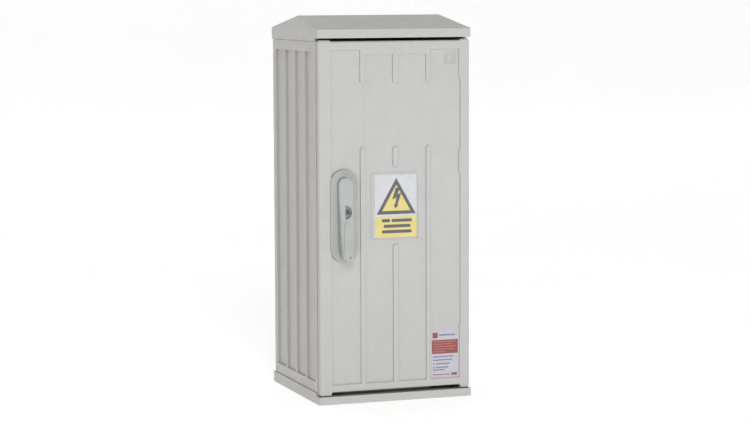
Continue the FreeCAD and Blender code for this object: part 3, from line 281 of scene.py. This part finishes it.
def foam_rubber(name, colour):
    """Closed-cell foam rubber: small pores and a dry bloom."""
    n = Nodes(name)
    pores = n.cells(1400.0)
    shades = [(0.05, tint(colour, 0.5)), (0.45, tint(colour, 1.3))]
    n.link(n.ramp(pores, shades), n.shader.inputs["Base Color"])
    n.link(n.spread(n.noise(300.0), 0.75, 0.92), n.shader.inputs["Roughness"])
    n.bumps([(pores, 0.35, 0.00015)])
    return n.material


SLOT_MATERIALS = {
    "smc_grey": pressed_polyester("pressed_polyester", POLYESTER_GREY),
    "zinc_steel": plated_steel("zinc_plate", (0.60, 0.60, 0.58)),
    "screw_steel": plated_steel("screw_plate", (0.56, 0.56, 0.57), 0.28, EVEN_GRAIN),
    "lock_metal": plated_steel("nickel_plate", (0.50, 0.48, 0.45), 0.22, EVEN_GRAIN),
    "handle_plastic": moulded_plastic("handle_polyamide", (0.405, 0.421, 0.403)),
    "grip_plastic": moulded_plastic("grip_polyamide", (0.392, 0.408, 0.389), 0.40, 500.0),
    "black_plastic": moulded_plastic("black_polyamide", (0.028, 0.029, 0.031), 0.48),
    "switch_plastic": moulded_plastic("switch_thermoset", (0.215, 0.225, 0.240), 0.50, 500.0, 0.0001),
    "cover_plastic": moulded_plastic("cover_thermoplastic", (0.115, 0.125, 0.140), 0.30),
    "ceramic": moulded_plastic("glazed_ceramic", (0.76, 0.74, 0.68), 0.16, 260.0),
    "copper": plated_steel("copper_bar", (0.80, 0.42, 0.26), 0.30, DRAWN_ALONG_X),
    "support_plastic": moulded_plastic("red_thermoset", (0.42, 0.075, 0.045), 0.45, 500.0),
    "pocket_plastic": moulded_plastic("pocket_polystyrene", (0.56, 0.56, 0.54), 0.42),
    "plate_laminate": laminate("glass_laminate", (0.33, 0.31, 0.25)),
    "seal_rubber": foam_rubber("seal_foam", (0.030, 0.030, 0.032)),
    "sticker": printed_film("sticker_film", (0.478, 0.485, 0.503)),
    "label": printed_film("label_film", (0.475, 0.468, 0.510)),
}

# Nodes whose material differs from the rest of their slot. The lock cylinder and its plug get a dark grey
# that is painted shade: the dark of the lever's recessed window laid into the metal's colour.
NODE_MATERIALS = {
    "lock_cylinder": plated_steel("cylinder_zinc_painted_shade", (0.150, 0.150, 0.145), 0.42, EVEN_GRAIN),
    "cylinder_plug": plated_steel("plug_zinc_painted_shade", (0.105, 0.105, 0.100), 0.50, EVEN_GRAIN),
}


def dress_cad_nodes():
    """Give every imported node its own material, or that of its slot in the record."""
    for part in frame["record"]["subparts"]:
        node = frame["nodes"][part["node"]]
        material = NODE_MATERIALS.get(part["node"], SLOT_MATERIALS[part["material_slot"]])
        node.data.materials.clear()
        node.data.materials.append(material)


# ---------------------------------------------------------------- stickers
# Measures on the printed pieces are millimetres: x from the left edge or the middle, z from the lower edge.
INK_LIFT = 0.08 * MM                      # each printed layer stands this far out of the one below
INK_BLACK = printed_film("ink_black", (0.030, 0.030, 0.032), 0.35)
INK_YELLOW = printed_film("ink_yellow", (0.620, 0.500, 0.115), 0.32)
INK_RED = printed_film("ink_red", (0.272, 0.048, 0.040), 0.35)
INK_BLUE = printed_film("ink_blue_grey", (0.16, 0.18, 0.27), 0.35)
INK_PINK = printed_film("ink_pale_red", (0.36, 0.15, 0.14), 0.35)

STICKER_CORNER = 1.5
TRIANGLE_MIDDLE = 1.0                     # how far right of the sticker's middle it stands
TRIANGLE_HALF = 34.5
TRIANGLE_LOW = 38.7
TRIANGLE_TOP = 98.8
TRIANGLE_BORDER = 5.6
PANEL_TOP = 34.5
# From the middle of the triangle's lower edge.
ZIGZAG = [(-1.0, 43.5), (6.0, 43.5), (2.6, 33.2), (9.0, 35.4), (2.0, 15.5), (4.4, 15.8), (-1.8, 9.0),
          (-4.6, 17.0), (-2.4, 16.2), (0.4, 27.6), (-7.4, 24.4)]
# Bars as (left, right, height of their middle); the sticker's are measured from the triangle's middle.
STICKER_BARS = [(-25.5, -11.0, 28.2), (-8.4, 27.5, 28.2), (-22.5, 25.0, 19.0), (-25.5, 27.0, 9.8)]
STICKER_BAR_HEIGHT = 5.2

LABEL_CORNER = 1.2
LABEL_BLOCK = (39.5, 63.0)                # height of the red block's lower and upper edge
LABEL_BLOCK_MARGIN = 1.4
LABEL_SQUARE = (2.5, 12.0)
LABEL_SQUARE_BELOW_TOP = (13.0, 3.5)
LABEL_CORNER_BLOCK = (13.0, 3.0)          # from the right edge
LABEL_CORNER_BLOCK_Z = (2.5, 6.5)
PALE_BARS = [(4.0, 44.0, 60.0), (4.0, 38.0, 55.8), (4.0, 44.5, 51.6), (4.0, 41.0, 47.4), (4.0, 26.0, 43.2)]
PALE_BAR_HEIGHT = 1.5
TITLE_BAR = (14.0, 43.0)
TITLE_BELOW_TOP = 8.0
TITLE_BAR_HEIGHT = 2.6
DARK_BARS = [(3.0, 40.0, 34.5), (3.0, 38.0, 28.9), (3.0, 6.0, 22.6), (8.0, 33.0, 22.6), (3.0, 6.0, 16.4),
             (8.0, 31.0, 16.4), (3.0, 24.0, 12.2)]
DARK_BAR_HEIGHT = 1.9
FOOT_BAR_LEFT = 3.0
FOOT_BAR_RIGHT = 15.5                     # from the right edge
FOOT_BAR_Z = 4.2
FOOT_BAR_HEIGHT = 1.7


def bar(x0, x1, middle_z, height):
    return rounded_rectangle(x0, x1, middle_z - height / 2, middle_z + height / 2, height * 0.3, 2)


def bars_from(x, z, rows, height):
    """Bars placed from a corner or a middle point, from rows in millimetres."""
    return [bar(x + left * MM, x + right * MM, z + level * MM, height * MM) for left, right, level in rows]


def film_sheet(name, node, slot, corner):
    """The blank film that replaces a node; returns the extent of its front face."""
    low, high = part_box(node)
    extent = (low[0], high[0], low[2], high[2])
    film = slabs(name, [rounded_rectangle(*extent, corner * MM)], low[1], high[1] - low[1],
                 SLOT_MATERIALS[slot], "door")
    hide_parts(node)
    return (*extent, low[1])


def inner_triangle(middle, base_z, apex_z):
    """The triangle left inside the sign's border."""
    border = TRIANGLE_BORDER * MM
    half = TRIANGLE_HALF * MM
    height = apex_z - base_z
    slope = math.hypot(half, height) / half
    inner_half = half - border * (slope + 1) / height * half
    inner_low = base_z + border
    inner_top = inner_low + inner_half * height / half
    return [(middle - inner_half, inner_low), (middle + inner_half, inner_low), (middle, inner_top)]


def warning_sticker():
    """A triangle with a zigzag over a yellow field; plain bars stand where the wording would be."""
    x0, x1, z0, _, front = film_sheet("sticker_sheet", "warning_sticker", "sticker", STICKER_CORNER)
    middle = (x0 + x1) / 2 + TRIANGLE_MIDDLE * MM
    half = TRIANGLE_HALF * MM
    base_z = z0 + TRIANGLE_LOW * MM
    apex_z = z0 + TRIANGLE_TOP * MM
    triangle = [(middle - half, base_z), (middle + half, base_z), (middle, apex_z)]
    inner = inner_triangle(middle, base_z, apex_z)
    panel = rounded_rectangle(x0 + 1.5 * MM, x1, z0 + 0.5 * MM, z0 + PANEL_TOP * MM, 0.8 * MM)
    zigzag = [(middle + x * MM, base_z + z * MM) for x, z in ZIGZAG]
    words = bars_from(middle, z0, STICKER_BARS, STICKER_BAR_HEIGHT)
    slabs("sticker_triangle", [triangle], front - INK_LIFT, INK_LIFT, INK_BLACK, "door")
    slabs("sticker_panel", [panel], front - INK_LIFT, INK_LIFT, INK_YELLOW, "door")
    slabs("sticker_triangle_fill", [inner], front - 2 * INK_LIFT, INK_LIFT, INK_YELLOW, "door")
    slabs("sticker_zigzag", [zigzag], front - 3 * INK_LIFT, INK_LIFT, INK_BLACK, "door")
    slabs("sticker_bars", words, front - 2 * INK_LIFT, INK_LIFT, INK_BLACK, "door")


def type_label():
    """A white label with a red block and rows of plain bars in place of its wording."""
    x0, x1, z0, z1, front = film_sheet("label_sheet", "type_label", "label", LABEL_CORNER)
    margin = LABEL_BLOCK_MARGIN * MM
    low, high = LABEL_BLOCK
    block = rounded_rectangle(x0 + margin, x1 - margin, z0 + low * MM, z0 + high * MM, 0.6 * MM)
    left, right = LABEL_SQUARE
    low, high = LABEL_SQUARE_BELOW_TOP
    square = rounded_rectangle(x0 + left * MM, x0 + right * MM, z1 - low * MM, z1 - high * MM, 1.0 * MM)
    left, right = LABEL_CORNER_BLOCK
    low, high = LABEL_CORNER_BLOCK_Z
    corner = rounded_rectangle(x1 - left * MM, x1 - right * MM, z0 + low * MM, z0 + high * MM, 0.5 * MM)
    pale = bars_from(x0, z0, PALE_BARS, PALE_BAR_HEIGHT)
    left, right = TITLE_BAR
    title = bar(x0 + left * MM, x0 + right * MM, z1 - TITLE_BELOW_TOP * MM, TITLE_BAR_HEIGHT * MM)
    dark = [title] + bars_from(x0, z0, DARK_BARS, DARK_BAR_HEIGHT)
    foot = bar(x0 + FOOT_BAR_LEFT * MM, x1 - FOOT_BAR_RIGHT * MM, z0 + FOOT_BAR_Z * MM, FOOT_BAR_HEIGHT * MM)
    slabs("label_red", [block, square, corner], front - INK_LIFT, INK_LIFT, INK_RED, "door")
    slabs("label_pale_bars", pale, front - 2 * INK_LIFT, INK_LIFT, INK_PINK, "door")
    slabs("label_dark_bars", dark, front - INK_LIFT, INK_LIFT, INK_BLUE, "door")
    slabs("label_foot_bar", [foot], front - INK_LIFT, INK_LIFT, INK_PINK, "door")


# ---------------------------------------------------------------- studio
CAMERA_PLACE = Vector((-1.2725, -3.6243, 0.6810))
CAMERA_AZIMUTH = -19.475                  # degrees; 0 looks along +Y
CAMERA_DOWN = 5.594
CAMERA_ROLL = -0.236
CAMERA_LENS = 108.6
SENSOR_WIDTH = 36.0
FLOOR_GLOW = 0.47                         # keeps the paper white where the lamps fall off
WORLD_STRENGTH = 0.36
WORLD_COLOUR = (1.0, 0.985, 0.970, 1.0)
# Each lamp: name, place, the point it faces, width and height, watts, colour.
LAMPS = [
    ("key_front_left", (-1.60, -5.8, 3.6), (0, 0, 0.2), (1.9, 1.9), 128.0, (1.0, 1.0, 1.0)),
    ("low_front", (0.4, -2.2, 0.18), (0, 0, 0.0), (1.6, 0.3), 11.0, (0.92, 0.96, 1.0)),
]
PAPER_HALF_WIDTH = 30.0
PAPER_FRONT_Y = -30.0
PAPER_BEND_Y = 6.0                        # where the paper starts to curve up behind the object
PAPER_BEND_R = 2.0
PAPER_TOP_Z = 12.0
PAPER_STEPS = 12
PAPER_DROP = 0.0002                       # keeps the paper just below the object's underside


def make_camera():
    data = bpy.data.cameras.new("camera")
    data.sensor_width = SENSOR_WIDTH
    data.lens = CAMERA_LENS
    data.clip_end = 100.0
    camera = bpy.data.objects.new("camera", data)
    bpy.context.collection.objects.link(camera)
    turn = Matrix.Rotation(math.radians(CAMERA_AZIMUTH), 4, "Z")
    tilt = Matrix.Rotation(math.radians(90 - CAMERA_DOWN), 4, "X")
    roll = Matrix.Rotation(math.radians(CAMERA_ROLL), 4, "Z")
    camera.matrix_world = Matrix.Translation(CAMERA_PLACE) @ turn @ tilt @ roll
    bpy.context.scene.camera = camera


def area_light(name, place, target, size, power, colour):
    data = bpy.data.lights.new(name, "AREA")
    data.shape = "RECTANGLE"
    data.size, data.size_y = size
    data.energy = power
    data.color = colour
    lamp = bpy.data.objects.new(name, data)
    bpy.context.collection.objects.link(lamp)
    lamp.location = place
    lamp.rotation_mode = "QUATERNION"
    lamp.rotation_quaternion = (Vector(target) - Vector(place)).to_track_quat("-Z", "Y")


def studio_floor():
    """One pale sheet that runs back and curves up behind the object."""
    n = Nodes("studio_paper")
    n.link(n.ramp(n.noise(3.0, 3.0), [(0.3, (0.86, 0.86, 0.86)), (0.7, (0.88, 0.88, 0.88))]),
           n.shader.inputs["Base Color"])
    n.shader.inputs["Roughness"].default_value = 0.9
    n.shader.inputs["Specular IOR Level"].default_value = 0.1
    n.shader.inputs["Emission Color"].default_value = (1.0, 1.0, 1.0, 1.0)
    n.shader.inputs["Emission Strength"].default_value = FLOOR_GLOW
    profile = [(PAPER_FRONT_Y, 0.0), (PAPER_BEND_Y, 0.0)]
    for i in range(1, PAPER_STEPS + 1):
        angle = math.radians(90 * i / PAPER_STEPS)
        profile.append((PAPER_BEND_Y + PAPER_BEND_R * math.sin(angle), PAPER_BEND_R * (1 - math.cos(angle))))
    profile.append((PAPER_BEND_Y + PAPER_BEND_R, PAPER_TOP_Z))

    mesh = bpy.data.meshes.new("studio_sheet")
    maker = bmesh.new()
    edges = (-PAPER_HALF_WIDTH, PAPER_HALF_WIDTH)
    rows = [[maker.verts.new((x, y, z - PAPER_DROP)) for x in edges] for y, z in profile]
    for lower, upper in zip(rows, rows[1:]):
        maker.faces.new((lower[0], lower[1], upper[1], upper[0]))
    maker.to_mesh(mesh)
    maker.free()
    mesh.shade_smooth()
    sheet = bpy.data.objects.new("studio_sheet", mesh)
    bpy.context.collection.objects.link(sheet)
    sheet.data.materials.append(n.material)


def make_light():
    world = bpy.data.worlds.new("studio")
    world.use_nodes = True
    world.node_tree.nodes["Background"].inputs["Color"].default_value = WORLD_COLOUR
    world.node_tree.nodes["Background"].inputs["Strength"].default_value = WORLD_STRENGTH
    bpy.context.scene.world = world
    for lamp in LAMPS:
        area_light(*lamp)


def main():
    bpy.context.scene.view_settings.view_transform = "Standard"
    dress_cad_nodes()
    warning_sticker()
    type_label()
    make_camera()
    studio_floor()
    make_light()


main()
